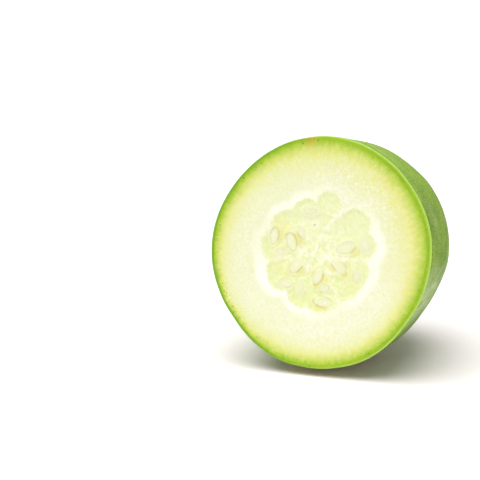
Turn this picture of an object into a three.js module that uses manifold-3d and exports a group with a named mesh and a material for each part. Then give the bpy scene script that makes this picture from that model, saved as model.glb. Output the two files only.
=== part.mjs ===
// A wax gourd cut straight across, lying on its side on the larger piece's ground spot.
//
// Row frame: millimetres, +Z up, the cut face looking along -Y and tipped back a little, the whole
// round end towards +Y. The origin is on the surface that the gourd lies on, under its middle.
//
// The rind, flesh and pulp grew as one solid. The seeds lie loose in pockets of the pulp, and the dry
// end of the stalk sits in the dimple at the far tip, so each of those is a piece of its own.

import * as THREE from 'three';
import { mergeVertices } from 'three/addons/utils/BufferGeometryUtils.js';
import Module from 'manifold-3d';

const wasm = await Module();
wasm.setup();

// ---- Driving dimensions -----------------------------------------------------------------------

const girthRadius = 80; // widest part of the fruit
const cutRadius = 79; // mean radius where it is cut
const girthFromCut = 46; // along the fruit's own axis
const roundEnd = 110; // from the girth to the far tip
const bluntness = 2.2; // exponent of the round end's outline: 2 is an ellipse, more is blunter
const tipLift = 4; // the far end curves up by this much
const leanBack = 6; // degrees that the cut face tips back as the gourd lies
const groundSpotDepth = 0.8; // how much the underside is flattened where it lies

const dimpleRadius = 11; // hollow round the stalk at the far tip
const dimpleDepth = 3.2;
const stubRadius = 4.2;
const stubLength = 3.6;

const chamberDepth = 0.8; // the pulp has sunk this far behind the cut
const clearance = 0.3; // between two separate pieces that touch

const seedLength = 13;
const seedWidth = 8;
const seedThickness = 3.4;
const seedSink = 0.1; // the seeds' tops lie this far behind the cut
const seedPoint = 0.3; // how much narrower a seed is towards its pointed end

// Broad unevenness of the round section: [waves round the fruit, share of the radius, crest in degrees].
const sectionWaves = [
  [2, 0.014, 71],
  [3, 0.0065, 53],
  [4, 0.007, 3],
];

// Lobes of the seed chamber on the cut face: [right of centre, above centre, radius].
const chamberLobes = [
  [-3, -2, 31],
  [-27.5, 3.5, 13],
  [-22, 15.5, 12.8],
  [-23.5, -14.5, 13.5],
  [-9, -27, 12],
  [2, -27, 14.5],
  [17.5, -19.5, 13.5],
  [23.5, -12, 13],
  [30, 6.5, 10.3],
  [25.5, 20, 10.8],
  [6.5, 34.3, 8.2],
  [-8.5, 27, 10],
];

// Seeds on the cut face: [right of centre, above centre, degrees its point turns from +X, size].
const seeds = [
  [-19.5, 6.7, -70, 1.17],
  [-32.3, 9.9, -97, 1.05],
  [-27, -1, 8, 0.75],
  [-15.3, -10.1, 38, 1.12],
  [-22.8, -22.9, 178, 0.92],
  [-11.5, -24.5, 80, 0.72],
  [0.3, -16.8, -110, 1.08],
  [6.4, -24.6, 20, 0.72],
  [5.2, -33.9, 176, 1.18],
  [15.6, -9.1, 138, 1.15],
  [28.2, -15, 108, 0.88],
  [19.7, 4.3, 200, 1.2],
  [33, 7.2, -65, 0.9],
  [-12.2, 12.6, -70, 0.8],
  [-6.3, 28.4, -2, 0.85],
];

const around = 60; // facets round the fruit
const radians = THREE.MathUtils.degToRad;

// ---- Materials --------------------------------------------------------------------------------

const gourdMaterial = new THREE.MeshStandardMaterial({ color: 0x6fae2c, roughness: 0.5, metalness: 0 });
const seedMaterial = new THREE.MeshStandardMaterial({ color: 0xf4f2cf, roughness: 0.35, metalness: 0 });
const stubMaterial = new THREE.MeshStandardMaterial({ color: 0x5a4a36, roughness: 0.9, metalness: 0 });

// ---- Solids and meshes ------------------------------------------------------------------------

// A closed three.js geometry as a manifold-3d solid, for cutting and joining.
function solidFrom(geometry) {
  geometry.deleteAttribute('normal');
  geometry.deleteAttribute('uv');
  const merged = mergeVertices(geometry, 1e-4);
  return new wasm.Manifold(new wasm.Mesh({
    numProp: 3,
    vertProperties: new Float32Array(merged.attributes.position.array),
    triVerts: new Uint32Array(merged.index.array),
  }));
}

// A manifold-3d solid back as a three.js mesh with its name and material.
function meshFrom(name, solid, material) {
  const made = solid.getMesh();
  const geometry = new THREE.BufferGeometry();
  geometry.setAttribute('position', new THREE.BufferAttribute(new Float32Array(made.vertProperties), 3));
  geometry.setIndex(new THREE.BufferAttribute(new Uint32Array(made.triVerts), 1));
  geometry.computeVertexNormals();
  const mesh = new THREE.Mesh(geometry, material);
  mesh.name = name;
  return mesh;
}

// ---- The fruit --------------------------------------------------------------------------------

// Mean radius of the fruit at a distance from the cut, along its axis.
function radiusAt(fromCut) {
  const frontHalf = girthFromCut / Math.sqrt(1 - (cutRadius / girthRadius) ** 2);
  if (fromCut < girthFromCut) {
    return girthRadius * Math.sqrt(1 - ((girthFromCut - fromCut) / frontHalf) ** 2);
  }
  const share = Math.min((fromCut - girthFromCut) / roundEnd, 1);
  return girthRadius * (1 - share ** bluntness) ** (1 / bluntness);
}

// How far the tip's surface lies inside the plain outline, in the dimple round the stalk.
function dimpleAt(radius) {
  if (radius >= dimpleRadius) return 0;
  return dimpleDepth * Math.cos((Math.PI / 2) * (radius / dimpleRadius)) ** 2;
}

// The uneven section's share of the mean radius, at an angle from +X towards +Z.
function sectionAt(angle) {
  return sectionWaves.reduce(
    (sum, [waves, share, crest]) => sum + share * Math.cos(waves * (angle - radians(crest))),
    1,
  );
}

// Half outline of the fruit, from the middle of the cut face round the rim to the middle of the tip.
function fruitOutline() {
  const points = [new THREE.Vector2(0, 0)];
  const frontSteps = 4;
  for (let i = 0; i <= frontSteps; i++) {
    const fromCut = girthFromCut * (i / frontSteps);
    points.push(new THREE.Vector2(radiusAt(fromCut), fromCut));
  }
  const endSteps = 18;
  for (let i = 1; i < endSteps; i++) {
    const turn = (Math.PI / 2) * (i / endSteps);
    const fromCut = girthFromCut + roundEnd * Math.sin(turn) ** 0.95;
    const radius = radiusAt(fromCut);
    if (radius > dimpleRadius) points.push(new THREE.Vector2(radius, fromCut));
  }
  const dimpleSteps = 5;
  for (let i = dimpleSteps; i >= 0; i--) {
    const radius = dimpleRadius * (i / dimpleSteps);
    const plain = roundEnd * (1 - (radius / girthRadius) ** bluntness) ** (1 / bluntness);
    points.push(new THREE.Vector2(radius, girthFromCut + plain - dimpleAt(radius)));
  }
  return points;
}

// How far the fruit's middle line has curved up at a distance from the cut.
function liftAt(fromCut) {
  const share = Math.max(0, fromCut - girthFromCut) / roundEnd;
  return tipLift * share * share;
}

// The fruit's turned outline made uneven, in its own frame: axis along +Y, cut face at Y 0.
function wholeFruit() {
  const geometry = new THREE.LatheGeometry(fruitOutline(), around);
  const position = geometry.getAttribute('position');
  for (let i = 0; i < position.count; i++) {
    const [x, y, z] = [position.getX(i), position.getY(i), position.getZ(i)];
    const share = sectionAt(Math.atan2(z, x));
    position.setXYZ(i, x * share, y, z * share + liftAt(y));
  }
  return solidFrom(geometry);
}

// The lobed hollow that the sunken pulp leaves behind the cut face.
function seedChamber() {
  const reach = 2; // past the cut face, so that the cut is clean
  return chamberLobes
    .map(([right, up, radius]) => {
      const disc = new THREE.CylinderGeometry(radius, radius, chamberDepth + reach, 30);
      disc.translate(right, (chamberDepth - reach) / 2, up);
      return solidFrom(disc);
    })
    .reduce((joined, disc) => joined.add(disc));
}

// ---- Seeds ------------------------------------------------------------------------------------

// A flat oval seed with one pointed end, lying just behind the cut face. Grown by a margin all round
// and opened towards the cut, the same shape is the pocket that the seed lies in.
function seedShape([right, up, turn, size], margin = 0, opening = 0) {
  const halfLength = (seedLength * size) / 2 + margin;
  const halfWidth = (seedWidth * size) / 2 + margin;
  const halfThickness = seedThickness / 2 + margin;
  const geometry = new THREE.SphereGeometry(1, 12, 8);
  const position = geometry.getAttribute('position');
  for (let i = 0; i < position.count; i++) {
    const [side, along, flat] = [position.getZ(i), position.getY(i), position.getX(i)];
    const narrow = 1 - seedPoint * ((1 + along) / 2) ** 2;
    const forward = flat < -1e-6 ? opening : 0;
    position.setXYZ(i, along * halfLength, flat * halfThickness - forward, -side * halfWidth * narrow);
  }
  geometry.rotateY(-radians(turn));
  geometry.translate(right, seedSink + seedThickness / 2, up);
  return solidFrom(geometry);
}

// ---- The stalk's dry end ----------------------------------------------------------------------

// A short broken stub with a hollowed top, standing in the dimple.
function stalkStub() {
  const foot = girthFromCut + roundEnd - dimpleDepth + clearance + dimpleAt(0) - dimpleAt(stubRadius);
  const top = foot + stubLength;
  const outline = [
    new THREE.Vector2(0, foot),
    new THREE.Vector2(stubRadius, foot),
    new THREE.Vector2(stubRadius * 1.08, foot + stubLength * 0.3),
    new THREE.Vector2(stubRadius * 0.96, foot + stubLength * 0.8),
    new THREE.Vector2(stubRadius * 0.8, top),
    new THREE.Vector2(stubRadius * 0.5, top - stubLength * 0.08),
    new THREE.Vector2(stubRadius * 0.3, top - stubLength * 0.4),
    new THREE.Vector2(0, top - stubLength * 0.45),
  ];
  const geometry = new THREE.LatheGeometry(outline, 20);
  geometry.translate(0, 0, liftAt(girthFromCut + roundEnd));
  return solidFrom(geometry);
}

// ---- Laying the gourd down --------------------------------------------------------------------

// The pose of the fruit's own frame in the row frame: tipped back, with its lowest skin under Z 0.
function layDown(solid) {
  return solid.rotate([-leanBack, 0, 0]);
}

const bounds = layDown(wholeFruit().add(stalkStub())).boundingBox();
const toRow = [
  -(bounds.min[0] + bounds.max[0]) / 2,
  -(bounds.min[1] + bounds.max[1]) / 2,
  -(bounds.min[2] + groundSpotDepth),
];

const belowFloor = new THREE.BoxGeometry(400, 400, 40);
belowFloor.translate(0, 0, -20);

const body = seeds
  .reduce((fruit, seed) => fruit.subtract(seedShape(seed, clearance, seedThickness)), wholeFruit().subtract(seedChamber()));

const gourd = new THREE.Group();
gourd.add(meshFrom(
  'gourd_body',
  layDown(body).translate(toRow).subtract(solidFrom(belowFloor)),
  gourdMaterial,
));
seeds.forEach((seed, i) => {
  const name = `seed_${String(i + 1).padStart(2, '0')}`;
  gourd.add(meshFrom(name, layDown(seedShape(seed)).translate(toRow), seedMaterial));
});
gourd.add(meshFrom('stalk_stub', layDown(stalkStub()).translate(toRow), stubMaterial));

export default gourd;
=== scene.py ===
"""Looks of a wax gourd cut straight across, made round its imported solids."""

import math
from types import SimpleNamespace

import bmesh
import bpy
from bpy.props import FloatProperty, FloatVectorProperty, IntProperty, PointerProperty
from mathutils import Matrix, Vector


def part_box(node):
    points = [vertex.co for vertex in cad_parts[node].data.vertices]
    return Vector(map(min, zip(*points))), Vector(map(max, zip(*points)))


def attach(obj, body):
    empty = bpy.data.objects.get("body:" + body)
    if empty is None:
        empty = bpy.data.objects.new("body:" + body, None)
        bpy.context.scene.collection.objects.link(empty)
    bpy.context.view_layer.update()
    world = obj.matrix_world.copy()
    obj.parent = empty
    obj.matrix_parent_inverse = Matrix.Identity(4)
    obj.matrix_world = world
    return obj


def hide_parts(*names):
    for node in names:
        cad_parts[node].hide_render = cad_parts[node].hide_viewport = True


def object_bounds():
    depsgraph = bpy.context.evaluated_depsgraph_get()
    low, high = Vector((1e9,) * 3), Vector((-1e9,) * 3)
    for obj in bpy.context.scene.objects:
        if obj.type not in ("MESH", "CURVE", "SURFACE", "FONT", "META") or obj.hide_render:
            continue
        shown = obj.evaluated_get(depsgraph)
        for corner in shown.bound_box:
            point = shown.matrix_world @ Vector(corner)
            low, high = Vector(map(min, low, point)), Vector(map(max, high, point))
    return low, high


bl_info = {
    "name": "Cut Wax Gourd",
    "version": (1, 0, 0),
    "blender": (4, 5, 0),
    "location": "3D View > Sidebar > Wax Gourd",
    "description": "Makes the skin, cut flesh, seeds and stalk end of a cut wax gourd, and its studio",
    "category": "Object",
}

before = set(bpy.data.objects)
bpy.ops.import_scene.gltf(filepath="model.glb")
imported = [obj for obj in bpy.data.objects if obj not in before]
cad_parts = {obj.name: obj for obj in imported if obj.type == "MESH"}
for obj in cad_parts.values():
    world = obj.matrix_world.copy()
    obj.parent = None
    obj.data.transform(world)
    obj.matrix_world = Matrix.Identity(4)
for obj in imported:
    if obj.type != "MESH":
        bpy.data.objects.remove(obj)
CAD_LOW, CAD_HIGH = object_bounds()
BODY_LOW, BODY_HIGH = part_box("gourd_body")
BODY_MIDDLE = (BODY_LOW + BODY_HIGH) / 2

MM = 0.001
TURN = 2 * math.pi
QUARTER = math.pi / 2

# The fruit's own frame has its axis along +Y and its origin in the middle of the cut. It leans back in
# the row frame, with that middle a little right of the body's middle, behind its front and above its foot.
LEAN_BACK = math.radians(6)
CUT_CENTRE = Vector((BODY_MIDDLE.x + 0.49 * MM, BODY_LOW.y + 8.42 * MM, BODY_LOW.z + 86.26 * MM))

# Broad unevenness of the round section: (waves round the fruit, share of the radius, crest in degrees).
SECTION_WAVES = ((2, 0.014, 71), (3, 0.0065, 53), (4, 0.007, 3))

# Low swellings of the skin beside the ground spot: (degrees from +X, cosine where each begins).
HIPS = ((242, 0.92), (303, 0.92))

# Broad hollows of the skin behind the cut: (degrees from +X, cosine where each begins, share of depth).
HOLLOWS = ((-48, 0.7, 1.0), (70, 0.86, 0.8))

# How softly the lobes of the seed chamber, and the walls between them, run into one another.
RUN_TOGETHER = 1.5 * MM

# Lobes of the seed chamber on the cut: (right of the middle, above the middle, radius), in millimetres.
CHAMBER_LOBES = (
    (-3, -2, 31), (-27.5, 3.5, 13), (-22, 15.5, 12.8), (-23.5, -14.5, 13.5),
    (-9, -27, 12), (2, -27, 14.5), (17.5, -19.5, 13.5), (23.5, -12, 13),
    (30, 6.5, 10.3), (25.5, 20, 10.8), (6.5, 34.3, 8.2), (-8.5, 27, 10),
)

# Pale walls that part the lobes: (from right, from above, to right, to above), in millimetres.
CHAMBER_WALLS = (
    (-3, -1, -7, 3), (-7, 3, -9, 11), (-3, -1, 8, -3), (8, -3, 21, -4),
    (21, -4, 36, -3), (-7, 3, -13, -2), (-13, -2, -24, -5), (-24, -5, -42, -9),
    (-3, -1, 5, 17), (5, 17, 15, 28), (8, -3, 9, -17), (9, -17, 16, -32),
    (-4, -8, -8, -14),
)

# Seeds: (right, above, both in millimetres, degrees that the point turns from +X, share of full size).
SEEDS = (
    (-19.5, 6.7, -70, 1.17),
    (-32.3, 9.9, -97, 1.05),
    (-27.0, -1.0, 8, 0.75),
    (-15.3, -10.1, 38, 1.12),
    (-22.8, -22.9, 178, 0.92),
    (-11.5, -24.5, 80, 0.72),
    (0.3, -16.8, -110, 1.08),
    (6.4, -24.6, 20, 0.72),
    (5.2, -33.9, 176, 1.18),
    (15.6, -9.1, 138, 1.15),
    (28.2, -15.0, 108, 0.88),
    (19.7, 4.3, 200, 1.2),
    (33.0, 7.2, -65, 0.9),
    (-12.2, 12.6, -70, 0.8),
    (-6.3, 28.4, -2, 0.85),
)

# Golden lines on parts of the seeds' edges: (right, above, half its length, all in millimetres, strength).
GOLD_LINES = (
    (-15.5, 8.5, 6.5, 1.0),
    (-28.2, 10.5, 6.0, 0.85),
    (-11.5, -13.5, 5.0, 0.9),
    (4.6, -18.0, 5.0, 1.0),
    (-4.6, -14.0, 4.0, 0.6),
    (0.0, -22.8, 3.5, 0.9),
    (3.5, -38.6, 6.5, 0.9),
    (-3.5, -33.0, 4.0, 0.5),
    (26.5, 2.0, 5.0, 0.9),
    (10.5, -10.0, 4.0, 0.7),
    (20.5, -7.0, 4.0, 0.6),
    (-24.0, 2.5, 3.0, 0.4),
    (19.5, -14.5, 3.5, 0.8),
    (-27.0, 17.0, 8.0, 0.55),
    (-24.0, -13.0, 10.0, 0.3),
    (24.0, -18.0, 9.0, 0.25),
    (2.5, -28.0, 3.0, 0.5),
    (-26.0, -7.0, 3.0, 0.35),
)

# How bright the white ring round the seed chamber is: (degrees from +X, share).
RING_STRENGTH = (
    (0, 0.7), (24, 0.75), (36, 0.2), (60, 0.08),
    (90, 0.3), (102, 0.75), (136, 0.8), (152, 0.3),
    (184, 0.3), (196, 0.9), (234, 0.95), (264, 0.8),
    (278, 0.25), (298, 0.3), (316, 0.8), (346, 0.75),
)

# How foamy the flesh outside that ring is: (degrees from +X, share).
FOAM_STRENGTH = (
    (0, 0.3), (30, 0.7), (66, 0.9), (96, 0.5),
    (112, 0.15), (146, 0.2), (162, 0.6), (196, 0.5),
    (240, 0.35), (270, 0.6), (320, 0.25),
)


def ink(code):
    """A colour written as six hex digits, as linear red, green, blue and full opacity."""
    parts = [int(code[i : i + 2], 16) / 255 for i in (0, 2, 4)]
    return (*[c / 12.92 if c <= 0.04045 else ((c + 0.055) / 1.055) ** 2.4 for c in parts], 1.0)


# ---- Node trees ----


def operator_of(operation, swapped=False):
    """A method of two numbers that adds one Math node."""
    if swapped:
        return lambda term, other: term.flow.math(operation, other, term)
    return lambda term, other: term.flow.math(operation, term, other)


class Term:
    """A socket of a node tree. Python's operators on it add Math nodes."""

    def __init__(self, flow, socket):
        self.flow = flow
        self.socket = socket

    __add__ = operator_of("ADD")
    __radd__ = operator_of("ADD")
    __sub__ = operator_of("SUBTRACT")
    __rsub__ = operator_of("SUBTRACT", swapped=True)
    __mul__ = operator_of("MULTIPLY")
    __rmul__ = operator_of("MULTIPLY")
    __truediv__ = operator_of("DIVIDE")
    __rtruediv__ = operator_of("DIVIDE", swapped=True)
    __pow__ = operator_of("POWER")
    __lt__ = operator_of("LESS_THAN")
    __gt__ = operator_of("GREATER_THAN")

    def clamp(self, low=0.0, high=1.0):
        """This number, kept between two others."""
        return self.flow.math("MINIMUM", self.flow.math("MAXIMUM", self, low), high)

    def fade(self, start, end):
        """0 at start and 1 at end, smooth between them; start may be the larger one."""
        values = {"Value": self, "From Min": start, "From Max": end}
        settings = {"data_type": "FLOAT", "interpolation_type": "SMOOTHSTEP"}
        return self.flow.term("ShaderNodeMapRange", settings, values)

    def between(self, start, full, past, end):
        """0 up to start, 1 from full to past, and 0 again from end, smooth between them."""
        return self.fade(start, full) * self.fade(end, past)

    def cos(self):
        """The cosine of an angle."""
        return self.flow.math("COSINE", self)

    def sin(self):
        """The sine of an angle."""
        return self.flow.math("SINE", self)

    def split(self):
        """The three parts of a vector."""
        parts = self.flow.node("ShaderNodeSeparateXYZ", None, {0: self})
        return [Term(self.flow, parts.outputs[i]) for i in range(3)]


class Flow:
    """Adds nodes to one tree. A node's settings come first, then the values or links of its sockets."""

    def __init__(self, tree):
        self.tree = tree

    def node(self, kind, settings=None, values=None):
        """Any node."""
        made = self.tree.nodes.new(kind)
        for name, value in (settings or {}).items():
            if name == "stops":
                self.set_stops(made.color_ramp, value)
            else:
                setattr(made, name, value)
        for key, value in (values or {}).items():
            if isinstance(value, Term):
                self.tree.links.new(value.socket, made.inputs[key])
            else:
                made.inputs[key].default_value = value
        return made

    def term(self, kind, settings=None, values=None, out=0):
        """Any node, as the term of one of its outputs."""
        return Term(self, self.node(kind, settings, values).outputs[out])

    def math(self, operation, *operands):
        """A Math node."""
        return self.term("ShaderNodeMath", {"operation": operation}, dict(enumerate(operands)))

    def span(self, *parts):
        """The straight distance that has these parts along the axes."""
        first, *others = [part * part for part in parts]
        return self.math("SQRT", sum(others, first))

    def mix(self, share, first, second):
        """Two colours mixed by a share from 0 to 1."""
        settings = {"data_type": "RGBA", "clamp_factor": True}
        values = {0: share, 6: shade_of(first), 7: shade_of(second)}
        return self.term("ShaderNodeMix", settings, values, 2)

    def layers(self, colour, *coats):
        """A colour with coats laid over it in order, each a share from 0 to 1 and its own colour."""
        for share, coat in coats:
            colour = self.mix(share, colour, coat)
        return colour

    def vector(self, x, y, z):
        """A vector from its three parts."""
        return self.term("ShaderNodeCombineXYZ", None, {0: x, 1: y, 2: z})

    def noise(self, place, size, detail=2.0, roughness=0.5, distortion=0.0):
        """Soft noise from 0 to 1 whose blotches are about that size in metres."""
        values = {
            "Vector": place,
            "Scale": 1 / size,
            "Detail": detail,
            "Roughness": roughness,
            "Distortion": distortion,
        }
        return self.term("ShaderNodeTexNoise", None, values)

    def swing(self, place, size, width, *detail):
        """The same noise about 0, with a width between its extremes."""
        return (self.noise(place, size, *detail) - 0.5) * width

    def cells(self, place, size, out="Distance"):
        """Cells of about that size in metres: the distance to a cell's middle, or its own colour."""
        return self.term("ShaderNodeTexVoronoi", None, {"Vector": place, "Scale": 1 / size}, out)

    def ramp(self, share, stops, whole=1.0):
        """A run of colours or levels along a share from 0 to 1, whose places are parts of a whole."""
        places = [(at / whole, shade) for at, shade in stops]
        return self.term("ShaderNodeValToRGB", {"stops": places}, {0: share})

    @staticmethod
    def set_stops(ramp, stops):
        """Gives a colour ramp its places and colours."""
        while len(ramp.elements) < len(stops):
            ramp.elements.new(1.0)
        for element, (place, shade) in zip(ramp.elements, stops):
            element.position = place
        for element, (place, shade) in zip(ramp.elements, stops):
            element.color = ink(shade) if isinstance(shade, str) else (shade, shade, shade, 1.0)


# ---- Geometry trees ----

SOCKET_KINDS = {float: "NodeSocketFloat", int: "NodeSocketInt"}

# Points closer than this are one point.
SAME_PLACE = 2e-7


def label_of(name):
    """The label of a tree's input: girth_radius is shown as Girth radius."""
    return name.replace("_", " ").capitalize()


def form_tree(name, sizes):
    """A geometry tree with named inputs. Gives its flow and the inputs' terms by name."""
    tree = bpy.data.node_groups.new(name, "GeometryNodeTree")
    for size, value in sizes.items():
        kind = SOCKET_KINDS[type(value)]
        socket = tree.interface.new_socket(name=label_of(size), in_out="INPUT", socket_type=kind)
        socket.default_value = value
    tree.interface.new_socket(name="Geometry", in_out="OUTPUT", socket_type="NodeSocketGeometry")
    flow = Flow(tree)
    entry = tree.nodes.new("NodeGroupInput")
    terms = {size: Term(flow, entry.outputs[label_of(size)]) for size in sizes}
    return flow, SimpleNamespace(**terms)


def grid_of(flow, facets, rows):
    """A grid with named runs of rows: gives it, the place across it and each run's steps from 0 to 1."""
    total = sum(rows.values())
    counts = {"Size X": 1.0, "Size Y": 1.0, "Vertices X": facets + 1, "Vertices Y": total + 1}
    grid = flow.term("GeometryNodeMeshGrid", None, counts)
    across, along, _ = flow.term("GeometryNodeInputPosition").split()
    row = (along + 0.5) * total
    steps, first = {}, 0
    for name, count in rows.items():
        steps[name] = ((row - first) / count).clamp()
        first += count
    return grid, across, steps


def close_form(flow, mesh, kept, spot, materials, inside_out=False):
    """Ends a tree: keeps numbers by name on every point, moves the points, closes seams and poles, and
    sets each material where its mask says."""
    for name, number in kept.items():
        settings = {"data_type": "FLOAT", "domain": "POINT"}
        values = {"Geometry": mesh, "Name": name, "Value": number}
        mesh = flow.term("GeometryNodeStoreNamedAttribute", settings, values)
    mesh = flow.term("GeometryNodeSetPosition", None, {"Geometry": mesh, "Position": flow.vector(*spot)})
    if inside_out:
        mesh = flow.term("GeometryNodeFlipFaces", None, {0: mesh})
    mesh = flow.term("GeometryNodeMergeByDistance", None, {"Geometry": mesh, "Distance": SAME_PLACE})
    mesh = flow.term("GeometryNodeSetShadeSmooth", None, {0: mesh})
    mesh = flow.term("GeometryNodeRealizeInstances", None, {0: mesh})
    for material, where in materials:
        values = {"Geometry": mesh, "Selection": where, "Material": material}
        mesh = flow.term("GeometryNodeSetMaterial", None, values)
    flow.node("NodeGroupOutput", None, {0: mesh})


def grow(name, flow, sizes):
    """Runs a geometry tree with some of its inputs set, and gives the result as a plain mesh object."""
    bench = bpy.data.objects.new(name + "_bench", bpy.data.meshes.new(name + "_bench"))
    bpy.context.scene.collection.objects.link(bench)
    modifier = bench.modifiers.new("Form", "NODES")
    modifier.node_group = flow.tree
    for size, value in sizes.items():
        modifier[flow.tree.interface.items_tree[label_of(size)].identifier] = value
    ready = bpy.context.evaluated_depsgraph_get()
    mesh = bpy.data.meshes.new_from_object(
        bench.evaluated_get(ready), preserve_all_data_layers=True, depsgraph=ready
    )
    bpy.data.objects.remove(bench)
    mesh.name = name
    piece = bpy.data.objects.new(name, mesh)
    bpy.context.scene.collection.objects.link(piece)
    if not mesh.polygons:
        raise RuntimeError(f"{name} came out empty")
    return piece


def laid(x, y, z):
    """A point of the fruit's own frame, in numbers or terms, laid down in the row frame."""
    cos, sin = math.cos(LEAN_BACK), math.sin(LEAN_BACK)
    return (
        x + CUT_CENTRE.x,
        y * cos + z * sin + CUT_CENTRE.y,
        z * cos - y * sin + CUT_CENTRE.z,
    )


# ---- Sizes and colours ----


def length_of(name, description, default):
    """A length in metres that a user can change."""
    return FloatProperty(
        name=name, description=description, default=default, min=0.0, subtype="DISTANCE", unit="LENGTH"
    )


def share_of(name, description, default):
    """A plain number that a user can change."""
    return FloatProperty(name=name, description=description, default=default, subtype="FACTOR")


def angle_of(name, description, degrees):
    """An angle that a user can change."""
    return FloatProperty(
        name=name, description=description, default=math.radians(degrees), subtype="ANGLE", unit="ROTATION"
    )


def colour_of(name, description, code):
    """A colour that a user can change."""
    return FloatVectorProperty(
        name=name, description=description, default=ink(code), size=4, min=0.0, max=1.0, subtype="COLOR"
    )


class GourdShape(bpy.types.PropertyGroup):
    """Sizes of the gourd, its seed chamber and its seeds."""

    girth_radius: length_of("Girth radius", "Radius of the fruit where it is widest", 80 * MM)
    cut_radius: length_of("Cut radius", "Mean radius of the fruit where it is cut", 79 * MM)
    girth_from_cut: length_of("Girth from cut", "How far the widest part is from the cut", 46 * MM)
    round_end: length_of("Round end", "Length of the round end past the widest part", 110 * MM)
    bluntness: share_of("Bluntness", "2 is an ellipse; a larger number is a blunter end", 2.2)
    tip_lift: length_of("Tip lift", "How far the tip curves up", 4 * MM)
    dimple_radius: length_of("Dimple radius", "Radius of the hollow round the stalk", 11 * MM)
    dimple_depth: length_of("Dimple depth", "Depth of the hollow round the stalk", 3.2 * MM)
    stub_radius: length_of("Stub radius", "Radius of the dry end of the stalk", 4.2 * MM)
    stub_length: length_of("Stub length", "Length of the dry end of the stalk", 3.6 * MM)
    chamber_depth: length_of("Chamber depth", "How far the pulp has sunk behind the cut", 0.8 * MM)
    seed_length: length_of("Seed length", "Length of a full-grown seed", 13 * MM)
    seed_width: length_of("Seed width", "Width of a full-grown seed", 8 * MM)
    seed_thickness: length_of("Seed thickness", "Thickness of every seed", 3.4 * MM)
    seed_sink: length_of("Seed sink", "How far the seeds' tops lie behind the cut", 0.1 * MM)
    seed_point: share_of("Seed point", "How much narrower a seed is towards its point", 0.3)
    seed_flatness: share_of("Seed flatness", "2 is an ellipsoid; a larger number has a flatter face", 8.0)
    unevenness: share_of("Unevenness", "Height of the skin's soft swellings, of the radius", 0.012)
    side_hollows: share_of("Side hollows", "Depth of the broad hollows behind the cut, of the radius", 0.02)
    hips: share_of("Hips", "Height of the low swellings beside the ground spot, of the radius", 0.012)
    facets_round: IntProperty(
        name="Facets round", description="Facets round the fruit", default=360, min=24, max=720
    )


class GourdColours(bpy.types.PropertyGroup):
    """Colours of the gourd's skin, flesh, seeds and stalk."""

    skin: colour_of("Skin", "Mid green of the skin", "86a82a")
    # Painted light: this lighter green is laid on the skin's upper side, as if lit from above.
    skin_lit_top: colour_of("Pale skin", "Lighter green of the skin's upper side", "a0c24c")
    # Deep green of the real blotches, also laid on the skin's underside as painted shade.
    skin_deep_and_shade: colour_of("Deep skin", "Dark green of the skin's blotches and underside", "5f861a")
    # Whitish wax on the skin, also used for the painted floor reflection on its lower side.
    bloom_and_reflection: colour_of("Bloom", "Whitish wax on the skin", "c9dab2")
    flesh: colour_of("Flesh", "Pale fibres of the flesh halfway to the core", "e5eac8")
    ring: colour_of("Ring", "White ring round the seed chamber", "f2f5e7")
    pulp: colour_of("Pulp", "Pale green pulp of the seed chamber", "e0e8b8")
    seed: colour_of("Seed", "Cream of the seeds", "e2e8b8")
    seed_rim: colour_of("Seed rim", "Golden line at a seed's edge", "d8d180")
    stalk: colour_of("Stalk", "Dry cork of the stalk's end", "6f4b34")


class GourdStudio(bpy.types.PropertyGroup):
    """Camera, floor and light."""

    azimuth: angle_of("Azimuth", "Camera's turn to the right of the cut", 16.5)
    elevation: angle_of("Elevation", "Camera's height above the horizon", 10.1)
    distance: length_of("Distance", "From the camera to the middle of the cut", 0.75)
    lens: FloatProperty(
        name="Lens", description="Focal length in millimetres", default=81.4, min=1.0,
        subtype="DISTANCE_CAMERA",
    )
    right: share_of("Right", "How far right of the frame's middle the cut's middle lies, in frames", 0.1623)
    below: share_of("Below", "How far below the frame's middle the cut's middle lies, in frames", 0.0243)
    sky: share_of("Sky", "Strength of the even white light all round", 0.3)
    key: share_of("Key", "Strength of the soft main light", 3.35)
    key_azimuth: angle_of("Key azimuth", "Main light's turn to the right of the cut", -26)
    key_elevation: angle_of("Key elevation", "Main light's height above the horizon", 74)
    key_softness: angle_of("Key softness", "How wide the main light looks from the gourd", 65)


# ---- The gourd ----


def section_share(angle):
    """The uneven section's share of the mean radius, at an angle from +X towards +Z."""
    share = 1.0
    for waves, height, crest in SECTION_WAVES:
        share = (angle * waves - math.radians(waves * crest)).cos() * height + share
    return share


def chamber_distance(flow, x, z):
    """How far a point of the cut is outside the lobed seed chamber; less than 0 is inside."""
    found = None
    for right, above, radius in CHAMBER_LOBES:
        gap = flow.span(x - right * MM, z - above * MM) - radius * MM
        found = gap if found is None else flow.math("SMOOTH_MIN", found, gap, RUN_TOGETHER)
    return found


def wall_distance(flow, x, z):
    """How far a point of the cut is from the nearest pale wall of the chamber."""
    found = None
    for x0, z0, x1, z1 in CHAMBER_WALLS:
        length = math.hypot(x1 - x0, z1 - z0)
        ux, uz = (x1 - x0) / length, (z1 - z0) / length
        dx, dz = x - x0 * MM, z - z0 * MM
        along = (dx * ux + dz * uz).clamp(0.0, length * MM)
        away = flow.span(dx - along * ux, dz - along * uz)
        found = away if found is None else flow.math("SMOOTH_MIN", found, away, RUN_TOGETHER)
    return found


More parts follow.
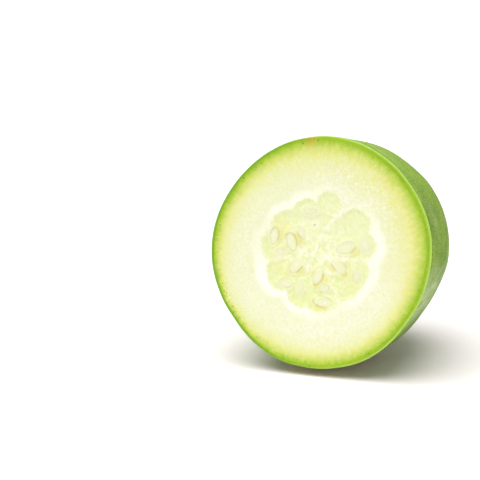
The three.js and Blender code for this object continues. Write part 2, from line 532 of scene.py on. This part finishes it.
def seed_distance(flow, x, z, length, width, point):
    """How far a point of the cut is outside the nearest seed; less than 0 is inside."""
    found = None
    for right, above, turn, size in SEEDS:
        cos, sin = math.cos(math.radians(turn)), math.sin(math.radians(turn))
        half = size / 2
        dx, dz = x - right * MM, z - above * MM
        along = (dx * cos + dz * sin) / (length * half)
        end = along.clamp(-1.0, 1.0)
        narrow = 1 - point * ((end + 1) * 0.5) ** 2
        aside = (dz * cos - dx * sin) / (width * half * narrow)
        reach = width * half + (length - width) * half * (end * end)
        gap = (flow.span(along, aside) - 1) * reach
        found = gap if found is None else flow.math("MINIMUM", found, gap)
    return found


def gold_share(flow, x, z):
    """How near a point of the cut is to the golden parts of the seeds' edges, from 0 to 1."""
    found = 0.0
    for right, above, reach, strength in GOLD_LINES:
        near = flow.span(x - right * MM, z - above * MM).fade(reach * MM, reach * 0.45 * MM)
        found = flow.math("MAXIMUM", found, near * strength)
    return found


def gourd_form(shape, skin, flesh):
    """The tree of the gourd: one closed surface from the middle of the cut to the middle of the tip."""
    names = (
        "girth_radius", "cut_radius", "girth_from_cut", "round_end", "bluntness", "tip_lift",
        "dimple_radius", "dimple_depth", "chamber_depth", "seed_length", "seed_width", "seed_point",
        "unevenness", "side_hollows", "hips", "facets_round",
    )
    flow, size = form_tree("Gourd form", {name: getattr(shape, name) for name in names})
    rows = {"core": 110, "flesh": 44, "edge": 4, "front": 28, "round": 72}
    grid, across, steps = grid_of(flow, size.facets_round, rows)
    angle = across * TURN + QUARTER

    # The outline: out over the cut, round its edge, along the skin to the girth and over the round end,
    # where the rows crowd towards the tip.
    edge = 0.45 * MM
    core_reach = 47 * MM
    crowding = 1.6
    corner = steps["edge"] * QUARTER
    turn = (1 - (1 - steps["round"]) ** crowding) * QUARTER
    front = edge * (1 - corner.cos()) + steps["front"] * (size.girth_from_cut - edge)
    taper = 1 - (size.cut_radius / size.girth_radius) ** 2
    narrowed = (1 - front / size.girth_from_cut) ** 2 * taper
    sharpness = 2 / size.bluntness
    closing = flow.math("MAXIMUM", turn.cos(), 0.0) ** sharpness
    skin_radius = size.girth_radius * flow.math("SQRT", 1 - narrowed) * closing
    on_cut = steps["core"] * core_reach + steps["flesh"] * (size.cut_radius - edge - core_reach)
    cut_radius = on_cut + edge * corner.sin()
    radius = cut_radius + (steps["front"] > 0) * (skin_radius - cut_radius)
    near_tip = (1 - radius / size.dimple_radius).clamp() * (steps["round"] > 0)
    hollow = size.dimple_depth * (near_tip * QUARTER).sin() ** 2
    reach = turn.sin() ** sharpness * size.round_end
    depth = front + reach - hollow

    # Soft swellings and hollows of the skin, which the rim of the cut follows.
    cos, sin = angle.cos(), angle.sin()
    swell = flow.swing(flow.vector(cos * radius, depth, sin * radius), 45 * MM, 2, 1.5)
    share = section_share(angle) + swell * size.unevenness * (radius / size.girth_radius) ** 2
    for at, begins in HIPS:
        share = share + (angle - math.radians(at)).cos().fade(begins, 1.0) * size.hips
    behind_cut = front.fade(4 * MM, 30 * MM) * size.side_hollows
    for at, begins, deep in HOLLOWS:
        share = share - (angle - math.radians(at)).cos().fade(begins, 1.0) * deep * behind_cut
    x = radius * share * cos
    z = radius * share * sin
    lift = size.tip_lift * (reach / size.round_end) ** 2

    # The cut: the chamber has sunk a little, its walls and the pulp round each seed stand up again.
    cut_place = flow.vector(x, 0.0, z)
    other_place = flow.vector(z, 50 * MM, x)  # for noise that doesn't follow the first
    stray_x = flow.swing(cut_place, 11 * MM, 5 * MM)
    stray_z = flow.swing(other_place, 11 * MM, 5 * MM)
    frill = flow.swing(cut_place, 3.5 * MM, 2 * MM)
    chamber = chamber_distance(flow, x + stray_x, z + stray_z) + frill
    wall = wall_distance(flow, x + stray_x * 0.8, z + stray_z * 0.8)
    gap = seed_distance(flow, x, z, size.seed_length, size.seed_width, size.seed_point)
    inside = chamber.fade(0.8 * MM, -3.2 * MM)
    folds = flow.swing(cut_place, 5 * MM, 1.3 * MM, 3.0, 0.55)
    ridge = wall.fade(2.6 * MM, 0.2 * MM) * (0.3 * MM)
    clear = gap.fade(0.3 * MM, 2.4 * MM)
    collar = gap.fade(4 * MM, 0.4 * MM) * (0.56 * MM)
    pocket = gap.fade(-1.2 * MM, -1.8 * MM) * (2.6 * MM)
    sunk = inside * (size.chamber_depth + (folds - ridge) * clear - collar) + pocket
    wander = flow.swing(cut_place, 40 * MM, 0.5 * MM, 1.0)
    level = flow.swing(cut_place, 2.2 * MM, 0.12 * MM)
    face = 1 - (steps["edge"] > 0)
    rim_gap = size.cut_radius - on_cut
    depth = depth + face * (sunk + (wander + level) * rim_gap.fade(0.4 * MM, 5 * MM))

    laid_x, laid_y, laid_z = laid(x, depth, z + lift)
    on_ground = flow.math("SMOOTH_MAX", laid_z, BODY_LOW.z, 0.4 * MM)
    kept = {
        "from_rim": rim_gap,
        "from_chamber": chamber,
        "from_wall": wall,
        "from_seed": gap,
        "gold": gold_share(flow, x, z),
        "from_cut": front + reach,
    }
    from_cut = flow.term("GeometryNodeInputNamedAttribute", {"data_type": "FLOAT"}, {"Name": "from_cut"})
    skin_begins = edge * 0.9
    materials = ((flesh, True), (skin, from_cut > skin_begins))
    close_form(flow, grid, kept, (laid_x, laid_y, on_ground), materials, inside_out=True)
    return flow


# ---- Seeds ----


def seed_form(shape, coat):
    """The tree of one seed: a flat oval with a point and a raised margin, leaning a little."""
    sizes = {
        "length": shape.seed_length,
        "width": shape.seed_width,
        "thickness": shape.seed_thickness,
        "point": shape.seed_point,
        "flatness": shape.seed_flatness,
        "sink": shape.seed_sink,
        "right": 0.0,
        "above": 0.0,
        "turn": 0.0,
        "lean": 0.0,
    }
    flow, size = form_tree("Seed form", sizes)
    ball = flow.term("GeometryNodeMeshUVSphere", None, {"Segments": 56, "Rings": 40, "Radius": 1.0})
    flat, aside, along = flow.term("GeometryNodeInputPosition").split()
    out = flow.span(aside, along)
    margin = out.between(0.6, 0.76, 0.82, 0.96)
    narrow = 1 - size.point * ((along + 1) * 0.5) ** 2
    side = (flat > 0) * 2 - 1
    dome = flow.math("SQRT", (1 - out ** size.flatness).clamp()) * side
    plump = dome * (1 + margin * 0.08) * (size.thickness / 2)
    ripple = flow.swing(flow.vector(along * 2, flat, aside), 0.7, 0.25 * MM)
    local_x = along * size.length / 2
    local_z = aside * size.width / 2 * narrow
    local_y = plump * 0.96 + ripple * dome + local_x * size.lean.sin()
    cos, sin = size.turn.cos(), size.turn.sin()
    seed_x = size.right + (local_x * cos - local_z * sin)
    seed_z = size.above + (local_x * sin + local_z * cos)
    behind = size.sink + size.thickness / 2
    kept = {"seed_out": out, "gold": gold_share(flow, seed_x, seed_z)}
    close_form(flow, ball, kept, laid(seed_x, local_y + behind, seed_z), ((coat, True),))
    return flow


# ---- The stalk's end ----


def stalk_form(shape, cork):
    """The tree of the stalk's dry end: a five-sided corky button with a cracked, hollow top."""
    sizes = {"radius": shape.stub_radius, "length": shape.stub_length, "foot": 0.0, "rise": shape.tip_lift}
    flow, size = form_tree("Stalk form", sizes)
    facets = 96
    rows = {"foot": 8, "side": 20, "lip": 10, "bowl": 20}
    grid, across, steps = grid_of(flow, facets, rows)
    angle = across * TURN
    waist = (steps["side"] * math.pi).sin() * 0.08 - steps["side"] * 0.2
    lip = (steps["lip"] * QUARTER).sin() * 0.3
    out = steps["foot"] + waist - lip - steps["bowl"] * 0.5
    up = steps["side"] * 0.94 + (steps["lip"] * math.pi).sin() * 0.06 - steps["bowl"].fade(0, 1) * 0.42
    ribs = (angle * 5).cos() * 0.05 + (angle * 11 + 1).cos() * 0.025
    radius = size.radius * out * (0.97 + ribs * steps["foot"])
    x, z = radius * angle.cos(), radius * angle.sin()
    flake = flow.swing(flow.vector(x, up * 2 * MM, z), 0.9 * MM, 0.9 * MM, 3.0, 0.6)
    torn = flake * steps["side"].fade(0.3, 1.0) * (1 - steps["bowl"] * 0.3)
    y = size.foot + up * size.length + torn - 0.1 * MM * steps["side"]
    spread = 1 + flake * 80
    spot = laid(x * spread, y, z * spread + size.rise)
    close_form(flow, grid, {"stalk_out": out, "stalk_up": up}, spot, ((cork, True),), inside_out=True)
    return flow


# ---- Materials ----

# Lengths on a surface are in millimetres here, and sizes of noise, cells and relief are in metres.

# Shades that a user seldom changes, by name.
SHADES = {
    "pale speckle": "a8c864", "dark speckle": "456814", "light dots": "bcd870",
    "ground spot": "d5c985", "cut skin": "c4dc8c", "dull tip": "6f6a2c",
    "dark scar": "1c120c", "brown scar": "5b3423",
    "straw": "efdb86", "dusky green": "84ae20", "green pepper": "86a82a",
    "white flesh": "e9ebd6", "mottled flesh": "d3d8ae", "foam": "edeee1", "dull flesh": "dde2a4",
    "cool pulp": "dce6ae", "low pulp": "dae59c", "pulp edge": "d9e19a", "white veins": "eeefd8",
    "white walls": "efefdb", "white grain": "ecedd2", "green grain": "d8df98", "seed film": "ecf0c4",
    "golden pulp": "e0e094", "brown fleck": "a3a068",
    "dark specks": "5f7a22", "amber stain": "dba544", "dark line": "6a9e12",
    "green groove": "7ca414", "bright line": "b8dc70",
    "seed middle": "e7ebcc", "seed cloud": "e0e5ae", "seed grain": "efefe0", "seed edge": "eef2c6",
    "cork crack": "2a1a12", "cork crescent": "dcc7a6", "cork foot": "17100b",
}

# The flesh from the rim inwards: (share of the way, shade). The way is this many times as long as the
# green band under the rim is wide.
GREEN_BANDS = 4.5
RIM_TO_CREAM = (
    (0.0, "8cb424"), (0.035, "97bc20"), (0.07, "97ba16"), (0.11, "a2c228"),
    (0.16, "b3ca42"), (0.22, "c4d35c"), (0.29, "d1d870"), (0.37, "d8df86"),
    (0.48, "dce29b"), (0.68, "dfe4af"), (1.0, "e0e6be"),
)

# How far light spreads in the moist flesh and seeds.
MOIST = {"Subsurface Radius": (1.0, 1.0, 0.6), "Subsurface Scale": 3.5 * MM}

# The paper's two whites, as linear red, green, blue and opacity.
PAPER_WHITES = ((0.95, 0.898, 0.9, 1.0), (0.97, 0.918, 0.92, 1.0))


def shade_of(colour):
    """A colour for a socket: a term stays, a name is looked up, and a user's colour becomes numbers."""
    if isinstance(colour, Term):
        return colour
    return ink(SHADES[colour]) if isinstance(colour, str) else tuple(colour)


def finish_of(name):
    """An empty material. Gives it, its flow and the object's own place."""
    material = bpy.data.materials.new(name)
    material.use_nodes = True
    material.node_tree.nodes.clear()
    flow = Flow(material.node_tree)
    return material, flow, flow.term("ShaderNodeTexCoord", None, None, "Object")


def coated(material, flow, values):
    """Ends a material with one Principled shader that has these values or links, and gives it."""
    shader = flow.term("ShaderNodeBsdfPrincipled", None, values)
    flow.node("ShaderNodeOutputMaterial", None, {0: shader})
    return material


def kept_number(flow, name):
    """A number that the form stored on the surface."""
    return flow.term("ShaderNodeAttribute", {"attribute_name": name}, None, "Fac")


def kept_length(flow, name):
    """A length that the form stored on the surface, in millimetres."""
    return kept_number(flow, name) / MM


def relief(flow, height, distance, strength):
    """A bump from a height in shares of a distance in metres."""
    values = {"Strength": strength, "Distance": distance, "Height": height}
    return flow.term("ShaderNodeBump", None, values)


def skin_finish(colours, shape):
    """Green waxy skin with a fine pale speckle, soft blotches, whitish wax and a corky tip, and painted
    light: a lighter top, a darker underside, a painted reflection low near the cut and a painted highlight
    on the cut edge.
    """
    material, flow, place = finish_of("gourd_skin")
    x, y, z = place.split()
    up = (z - BODY_LOW.z) / MM
    from_cut = kept_length(flow, "from_cut")
    scar = laid(0.0, shape.girth_from_cut + shape.round_end, shape.tip_lift)
    from_scar = flow.span(x - scar[0], y - scar[1], z - scar[2]) / MM + flow.swing(place, 3 * MM, 3, 3.0)
    blotch = flow.noise(place, 30 * MM, 3.0, 0.55)
    cloud = flow.noise(place, 38 * MM, 2.5, 0.55)
    streak = flow.noise(flow.vector(x, y * 0.35, z), 5 * MM, 3.0, 0.6)
    grain = flow.noise(place, 1.3 * MM, 3.0, 0.65)
    fine = flow.noise(place, 0.75 * MM, 2.0, 0.6)
    dots = flow.cells(place, 2.7 * MM)
    # Painted reflection: low down near the cut the skin is whitened as if it mirrored the bright floor, on
    # top of the whitish wax that the skin has in soft patches.
    near_cut = from_cut.fade(75, 35) * 0.7 + 0.3
    low_reflection = up.fade(86, 58) * near_cut
    bloom_and_reflection = cloud.fade(0.45, 0.75) * 0.2 + low_reflection * (0.2 + streak.fade(0.3, 0.7) * 0.4)
    ground = up.fade(15, 0.0) * (0.35 + cloud * 0.6)
    colour = flow.layers(
        flow.mix(blotch.fade(0.32, 0.68), colours.skin_deep_and_shade, colours.skin),
        # Painted light: the upper side is painted a lighter green.
        (up.fade(120, 150) * 0.45, colours.skin_lit_top),
        (grain.fade(0.42, 0.68) * 0.75, "pale speckle"),
        (fine.fade(0.54, 0.4) * 0.6, "dark speckle"),
        (dots.fade(0.22, 0.08) * 0.5, "light dots"),
        ((bloom_and_reflection * (0.55 + grain * 0.8)).clamp(0.0, 0.85), colours.bloom_and_reflection),
        # Painted shade: the skin is darkened towards the ground.
        (up.fade(52, 26) * 0.8, colours.skin_deep_and_shade),
        (ground.clamp(0.0, 0.75), "ground spot"),
        # Painted highlight: a pale line on the skin along the cut's edge.
        (from_cut.fade(1.5, 0.5) * 0.7, "cut skin"),
        (from_scar.fade(15, 7) * 0.55, "dull tip"),
        (from_scar.fade(7.4, 5.6), "dark scar"),
        (from_scar.fade(4.6, 3.6), "brown scar"),
    )
    height = grain * 0.6 + fine * 0.25 - dots.fade(0.25, 0.05) * 0.3
    return coated(material, flow, {
        "Base Color": colour,
        "Roughness": (0.6 + bloom_and_reflection * 0.2 + (fine - 0.5) * 0.2).clamp(0.4, 0.85),
        "Normal": relief(flow, height, 0.5 * MM, 0.8),
        "IOR": 1.25,
        "Specular IOR Level": 0.1,
        "Subsurface Weight": 0.05,
        "Subsurface Radius": (1.0, 1.0, 0.3),
        "Subsurface Scale": 2 * MM,
    })


def flesh_finish(colours):
    """Cut flesh: a green rim fading to cream, a white ring, and the pale green pulp of the core."""
    material, flow, place = finish_of("gourd_flesh")
    x, _, z = place.split()
    dx = (x - CUT_CENTRE.x) / MM
    dz = (z - CUT_CENTRE.z) / (math.cos(LEAN_BACK) * MM)
    away = flow.span(dx, dz) + 1
    right, above = dx / away, dz / away
    round_share = flow.math("ARCTAN2", dz, dx) / TURN + (dz < 0)
    from_rim = kept_length(flow, "from_rim")
    chamber = kept_length(flow, "from_chamber")
    wall = kept_length(flow, "from_wall")
    gap = kept_length(flow, "from_seed")
    gold = kept_number(flow, "gold")
    cloud = flow.noise(place, 9 * MM, 3.0, 0.55)
    grain = flow.noise(place, 1.3 * MM, 3.0, 0.65)
    foam = flow.noise(place, 2.2 * MM, 3.0, 0.6)
    vein = flow.noise(place, 3.0 * MM, 3.0, 0.6, 0.8)

    # Threads and patches that run from the rim towards the core: fine round the cut, long inwards.
    threads = flow.noise(flow.vector(right * 30, above * 30, from_rim * 0.25), 1.3, 2.5, 0.6)
    patch = flow.noise(flow.vector(right * 30, above * 30, from_rim * 0.06), 3.0)

    # From the rim inwards: green, lime, straw yellow and then cream.
    low_left = (right * -0.87 - above * 0.5).fade(0.75, 1.0)
    band = 6.7 + right * 1.4 + above.clamp() * 0.8 - low_left * 1.6
    band = band + (cloud - 0.5) * 4 - above.fade(-0.1, -0.6) * 0.9
    uneven = (threads - 0.5) * 0.8 + (grain - 0.5) * 0.5 + (foam - 0.5) * 0.35
    depth = from_rim / band + uneven * from_rim.fade(0.5, 4)
    straw = depth.between(0.9, 1.4, 1.7, 2.6) * (right.fade(0.2, 0.9) * 0.16 + cloud.fade(0.5, 0.7) * 0.1)
    dusky = patch.fade(0.5, 0.68) * from_rim.between(0.5, 1.5, 2.5, 6)
    peppered = grain.fade(0.5, 0.34) * from_rim.between(0.3, 1.2, 4, 11)
    fibres = threads.fade(0.4, 0.7) * from_rim.fade(8, 16)

    # Whiter towards the chamber and on the lower side, foamy in places, with a broken white ring.
    froth = flow.ramp(round_share, FOAM_STRENGTH, 360)
    pale_side = above.fade(0.2, -0.7) * (0.4 + right.fade(-0.7, 0.2) * 0.3)
    pale_side = flow.math("MAXIMUM", pale_side, right.fade(-0.2, -0.9) * 0.25)
    pale_side = from_rim.fade(6, 24) * pale_side * (0.6 + cloud * 0.8)
    pale_heart = chamber.fade(18, 1) * (0.25 + cloud * 0.5)
    mottle = grain.fade(0.52, 0.36) * from_rim.fade(2, 8)
    foamy = foam.fade(0.46, 0.7) * chamber.fade(27, 15) * froth
    dull = foam.fade(0.52, 0.32) * from_rim.fade(3, 9) * (0.25 + froth * 0.3)
    brim = chamber + (foam - 0.5) * 3 + (grain - 0.5) * 1.5
    wider = 2 - right.clamp(-1.0, 0.0) * 1.5
    wider = flow.math("ABSOLUTE", right).fade(0.6, 0.95) * above.fade(0.5, 0.2) * wider
    ring = brim.fade(-0.3, 1.0) * (brim - wider).fade(7.5, 2.6)
    ring = ring * flow.ramp(round_share, RING_STRENGTH, 360) * (0.7 + cloud * 0.6)
    flesh = flow.layers(
        flow.ramp(depth.clamp(0.0, GREEN_BANDS) / GREEN_BANDS, RIM_TO_CREAM),
        (straw, "straw"),
        (dusky * 0.55, "dusky green"),
        (peppered * 0.5, "green pepper"),
        (fibres * 0.35, colours.flesh),
        (flow.math("MAXIMUM", pale_heart, pale_side).clamp(), "white flesh"),
        (mottle * 0.4, "mottled flesh"),
        (foamy * 0.85, "foam"),
        (dull, "dull flesh"),
        (ring.clamp(0.0, 0.97), colours.ring),
    )

    # The pulp: greener at its edge, white-veined at its heart, golden along parts of the seeds' edges.
    inside = brim.fade(2.2, -2.2)
    edge = chamber.fade(-2.8, -0.6) * 0.3
    edge = edge + chamber.fade(-7, -1) * cloud.fade(0.66, 0.4) * 0.35
    heart = (1 - away / 30).clamp() + 0.25
    round_seed = gap + (vein - 0.5) * 2
    # A pale rim round each seed in the pulp: partly the pulp's own pale outline, partly painted light that
    # lifts the shade in the crease where seed and pulp meet.
    film_and_crease_light = round_seed.between(-1.8, -0.8, 0.4, 1.6) * (1 - gold * 0.8)
    arc = gap.fade(1.1, 0.2) * gold * (0.45 + grain * 0.5)
    fleck = flow.span((dx + 3.3) * 0.6, dz - 18.9)
    pulp = flow.layers(
        flow.mix(cloud.fade(0.35, 0.65), colours.pulp, "cool pulp"),
        ((dz + dx * 0.5).fade(16, -4) * 0.6, "low pulp"),
        (edge, "pulp edge"),
        ((vein.fade(0.42, 0.6) * heart).clamp(0.0, 0.9), "white veins"),
        (wall.fade(3.0, 0.2) * vein.fade(0.32, 0.56) * 0.6, "white walls"),
        (grain.fade(0.48, 0.66) * 0.45, "white grain"),
        (foam.fade(0.5, 0.34) * 0.3, "green grain"),
        (film_and_crease_light * 0.4, "seed film"),
        (gold * (0.35 + cloud * 0.6), "golden pulp"),
        (arc.clamp(0.0, 0.9), colours.seed_rim),
        (fleck.fade(0.9, 0.4) * 0.4, "brown fleck"),
    )

    # Marks along the rim: dark specks, an amber stain near the top, and lines where the skin begins: a dark
    # green line on the left, a darker green band on the right, and a painted highlight along the right of
    # the rim.
    specks = flow.cells(place, 4.2 * MM).fade(0.21, 0.11)
    picked = flow.term("ShaderNodeSeparateColor", None, {0: flow.cells(place, 4.2 * MM, "Color")}) > 0.4
    specks = specks * picked * from_rim.between(0.5, 1.1, 3.5, 6)
    stain = from_rim.fade(9, 1) * right.between(-0.19, -0.11, -0.09, -0.02) * (above > 0)
    dark_line = from_rim.fade(2.6, 1.1) * right.fade(0.2, -0.6)
    # A darker green band just inside the rim on the right.
    inner_dark_band = from_rim.between(1.2, 2.2, 2.6, 4) * right.fade(0.2, 0.6)
    # Painted highlight: a thin bright line along the right of the rim.
    rim_highlight = from_rim.fade(1.1, 0.5) * right.fade(-0.4, 0.5) * (0.2 + threads * 0.7)
    colour = flow.layers(
        flow.mix(inside, flesh, pulp),
        (specks * 0.65, "dark specks"),
        (stain * threads.fade(0.4, 0.55) * 0.9, "amber stain"),
        (dark_line * 0.8, "dark line"),
        (inner_dark_band * threads.fade(0.3, 0.65) * 0.6, "green groove"),
        (rim_highlight, "bright line"),
    )
    return coated(material, flow, {
        "Base Color": colour,
        "Roughness": (0.5 - inside * 0.14 + (grain - 0.5) * 0.2).clamp(0.2, 0.7),
        "Normal": relief(flow, grain * 0.5 + foam * 0.35, 0.22 * MM, 0.5),
        "Specular IOR Level": 0.35,
        "Subsurface Weight": 0.45,
        **MOIST,
    })


def seed_finish(colours):
    """Moist cream seed coat, golden along parts of its edge, with a painted highlight in its middle and a
    pale edge that is partly painted light.
    """
    material, flow, place = finish_of("seed_coat")
    out = kept_number(flow, "seed_out")
    gold = kept_number(flow, "gold")
    grain = flow.noise(place, 1.1 * MM, 3.0, 0.6)
    cloud = flow.noise(place, 4 * MM)
    rim = out.fade(0.66, 0.9) * (gold * (0.5 + grain * 0.5))
    colour = flow.layers(
        # Painted highlight: each seed is lighter in its middle, as if light glowed through it.
        flow.mix(out.fade(0.1, 0.75), "seed middle", colours.seed),
        (cloud.fade(0.4, 0.65) * 0.5, "seed cloud"),
        (grain.fade(0.5, 0.7) * 0.3, "seed grain"),
        # A pale edge on seeds without gold: partly their own pale margin, partly painted light that lifts
        # the shade of the crease round the seed.
        (out.fade(0.5, 0.78) * (1 - gold) * 0.5, "seed edge"),
        (rim.clamp(0.0, 0.85), colours.seed_rim),
    )
    return coated(material, flow, {
        "Base Color": colour,
        "Roughness": (0.3 + grain * 0.15).clamp(0.2, 0.6),
        "Normal": relief(flow, grain, 0.15 * MM, 0.5),
        "Specular IOR Level": 0.5,
        "Subsurface Weight": 0.6,
        **MOIST,
    })


def cork_finish(colours):
    """Dry, cracked cork of the stalk's end, with pale crescents on its lip."""
    material, flow, place = finish_of("stalk_cork")
    out = kept_number(flow, "stalk_out")
    up = kept_number(flow, "stalk_up")
    grain = flow.noise(place, 0.6 * MM, 4.0, 0.65)
    patch = flow.noise(place, 3.5 * MM, 1.0)
    crescent = up.fade(0.75, 0.95) * out.fade(0.35, 0.55) * patch.fade(0.48, 0.56)
    colour = flow.layers(
        flow.mix(grain.fade(0.35, 0.65), "cork crack", colours.stalk),
        (crescent * 0.9, "cork crescent"),
        (up.fade(0.5, 0.1) * 0.8, "cork foot"),
    )
    return coated(material, flow, {
        "Base Color": colour,
        "Roughness": (0.75 + grain * 0.2).clamp(),
        "Normal": relief(flow, grain, 0.3 * MM, 0.8),
    })


def floor_finish():
    """Plain matt white paper."""
    material, flow, place = finish_of("white_paper")
    colour = flow.mix(flow.noise(place, 2 * MM), *PAPER_WHITES)
    return coated(material, flow, {"Base Color": colour, "Roughness": 0.9, "Specular IOR Level": 0.1})


# ---- Operators ----

# Seeds lean by whole degrees, this many at most either way, taken in steps of the second number.
MOST_LEAN = 4
LEAN_STEP = 37

# The stalk's foot stands this far off the dimple, which has this share of its depth at the foot's edge.
STALK_GAP = 0.3 * MM
DIMPLE_AT_STALK = 0.68

# The studio's round room, in metres: its flat floor, the bend up to its wall, and the wall's top.
ROOM_FLOOR = 3.0
ROOM_BEND = 1.0
ROOM_TOP = 1.3

# The room's sides, the steps of its bend, and how far its floor lies under the gourd.
ROOM_SIDES = 96
BEND_STEPS = 16
FLOOR_GAP = 0.05 * MM

# How far the lamp is from the cut, in metres, and the width of the camera's sensor, in millimetres.
LAMP_AWAY = 3.0
SENSOR_WIDTH = 36.0


def towards(turn, rise):
    """The direction that is turned to the right of the cut and raised above the horizon."""
    return Vector((
        math.sin(turn) * math.cos(rise),
        -math.cos(turn) * math.cos(rise),
        math.sin(rise),
    ))


def stand(scene, name, data, place, line):
    """A lamp or camera that stands at a place and looks along a line."""
    made = bpy.data.objects.new(name, data)
    made.location = place
    made.rotation_mode = "QUATERNION"
    made.rotation_quaternion = line.to_track_quat("-Z", "Y")
    scene.collection.objects.link(made)
    return made


class WAXGOURD_OT_gourd(bpy.types.Operator):
    """Make the gourd itself: skin, cut flesh and seed chamber in one closed surface"""

    bl_idname = "wax_gourd.gourd"
    bl_label = "Gourd"

    def execute(self, context):
        shape, colours = context.scene.gourd_shape, context.scene.gourd_colours
        form = gourd_form(shape, skin_finish(colours, shape), flesh_finish(colours))
        gourd = grow("gourd", form, {})
        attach(gourd, "root")
        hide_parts("gourd_body")
        return {"FINISHED"}


class WAXGOURD_OT_seeds(bpy.types.Operator):
    """Make the seeds, each lying in its own pocket of the pulp"""

    bl_idname = "wax_gourd.seeds"
    bl_label = "Seeds"

    def execute(self, context):
        shape = context.scene.gourd_shape
        form = seed_form(shape, seed_finish(context.scene.gourd_colours))
        for number, (right, above, turn, size) in enumerate(SEEDS, 1):
            node = f"seed_{number:02d}"
            lean = number * LEAN_STEP % (2 * MOST_LEAN + 1) - MOST_LEAN
            sizes = {
                "length": shape.seed_length * size,
                "width": shape.seed_width * size,
                "right": right * MM,
                "above": above * MM,
                "turn": math.radians(turn),
                "lean": math.radians(lean),
            }
            seed = grow(f"plump_{node}", form, sizes)
            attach(seed, "root")
            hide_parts(node)
        return {"FINISHED"}


class WAXGOURD_OT_stalk(bpy.types.Operator):
    """Make the dry end of the stalk at the far tip"""

    bl_idname = "wax_gourd.stalk"
    bl_label = "Stalk end"

    def execute(self, context):
        shape = context.scene.gourd_shape
        form = stalk_form(shape, cork_finish(context.scene.gourd_colours))
        dimple_there = shape.dimple_depth * DIMPLE_AT_STALK
        foot = shape.girth_from_cut + shape.round_end - dimple_there + STALK_GAP
        stalk = grow("stalk_end", form, {"foot": foot})
        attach(stalk, "root")
        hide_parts("stalk_stub")
        return {"FINISHED"}


class WAXGOURD_OT_studio(bpy.types.Operator):
    """Make the white floor, the soft light and the camera"""

    bl_idname = "wax_gourd.studio"
    bl_label = "Studio"

    def execute(self, context):
        scene = context.scene
        studio = scene.gourd_studio
        scene.view_settings.view_transform = "Standard"
        self.lay_floor(scene)
        self.light(scene, studio)
        self.aim_camera(scene, studio)
        return {"FINISHED"}

    def lay_floor(self, scene):
        """A round white room: a flat floor that curves up into a low wall."""
        outline = [(ROOM_FLOOR * share, 0.0) for share in (0.0, 0.2, 0.5, 1.0)]
        for step in range(1, BEND_STEPS + 1):
            bend = QUARTER * step / BEND_STEPS
            outline.append((ROOM_FLOOR + ROOM_BEND * math.sin(bend), ROOM_BEND * (1 - math.cos(bend))))
        outline.append((ROOM_FLOOR + ROOM_BEND, ROOM_TOP))
        mesh = bpy.data.meshes.new("white_room")
        room = bmesh.new()
        low = CAD_LOW.z - FLOOR_GAP
        points = [room.verts.new((out, 0.0, up + low)) for out, up in outline]
        edges = [room.edges.new(pair) for pair in zip(points, points[1:])]
        turned = {"cent": (0, 0, 0), "axis": (0, 0, 1), "angle": TURN, "steps": ROOM_SIDES}
        bmesh.ops.spin(room, geom=points + edges, use_merge=True, **turned)
        bmesh.ops.remove_doubles(room, verts=room.verts, dist=0.01 * MM)
        bmesh.ops.recalc_face_normals(room, faces=room.faces)
        for face in room.faces:
            face.smooth = True
        room.to_mesh(mesh)
        room.free()
        mesh.materials.append(floor_finish())
        floor = bpy.data.objects.new("white_room", mesh)
        scene.collection.objects.link(floor)

    def light(self, scene, studio):
        """Even white light all round, and one large soft light from the upper left."""
        world = bpy.data.worlds.new("soft_sky")
        world.use_nodes = True
        sky = world.node_tree.nodes["Background"]
        sky.inputs["Color"].default_value = (1.0, 1.0, 1.0, 1.0)
        sky.inputs["Strength"].default_value = studio.sky
        scene.world = world
        key = bpy.data.lights.new("key_light", "SUN")
        key.angle = studio.key_softness
        key.energy = studio.key
        line = towards(studio.key_azimuth, studio.key_elevation)
        stand(scene, "key_light", key, CUT_CENTRE + line * LAMP_AWAY, -line)

    def aim_camera(self, scene, studio):
        """A camera on the cut's right, aimed past the gourd so that it lies right of the middle."""
        lens = bpy.data.cameras.new("camera")
        lens.lens = studio.lens
        lens.sensor_width = SENSOR_WIDTH
        back = towards(studio.azimuth, studio.elevation)
        place = CUT_CENTRE + back * studio.distance
        side = back.cross(Vector((0, 0, 1))).normalized() * -1
        top = back.cross(side)
        frame_width = studio.distance * SENSOR_WIDTH / studio.lens
        aim = CUT_CENTRE - side * (studio.right * frame_width) + top * (studio.below * frame_width)
        scene.camera = stand(scene, "camera", lens, place, aim - place)


class WAXGOURD_PT_parts(bpy.types.Panel):
    """Lists the pieces of the gourd, its sizes and its colours"""

    bl_idname = "WAXGOURD_PT_parts"
    bl_label = "Wax Gourd"
    bl_space_type = "VIEW_3D"
    bl_region_type = "UI"
    bl_category = "Wax Gourd"

    def draw(self, context):
        column = self.layout.column()
        for operator in OPERATORS:
            column.operator(operator.bl_idname)
        for group in (context.scene.gourd_shape, context.scene.gourd_colours, context.scene.gourd_studio):
            box = self.layout.box()
            for name in group.__annotations__:
                box.prop(group, name)


OPERATORS = (WAXGOURD_OT_gourd, WAXGOURD_OT_seeds, WAXGOURD_OT_stalk, WAXGOURD_OT_studio)
GROUPS = {"gourd_shape": GourdShape, "gourd_colours": GourdColours, "gourd_studio": GourdStudio}


def register():
    """Adds the classes and the scene's own settings."""
    for made in (*GROUPS.values(), *OPERATORS, WAXGOURD_PT_parts):
        bpy.utils.register_class(made)
    for name, group in GROUPS.items():
        setattr(bpy.types.Scene, name, PointerProperty(type=group))


def unregister():
    """Takes them away again."""
    for name in GROUPS:
        delattr(bpy.types.Scene, name)
    for made in (WAXGOURD_PT_parts, *reversed(OPERATORS), *GROUPS.values()):
        bpy.utils.unregister_class(made)


def main():
    """Makes every piece in order."""
    register()
    for operator in OPERATORS:
        group, name = operator.bl_idname.split(".")
        getattr(getattr(bpy.ops, group), name)()


if __name__ == "__main__":
    main()
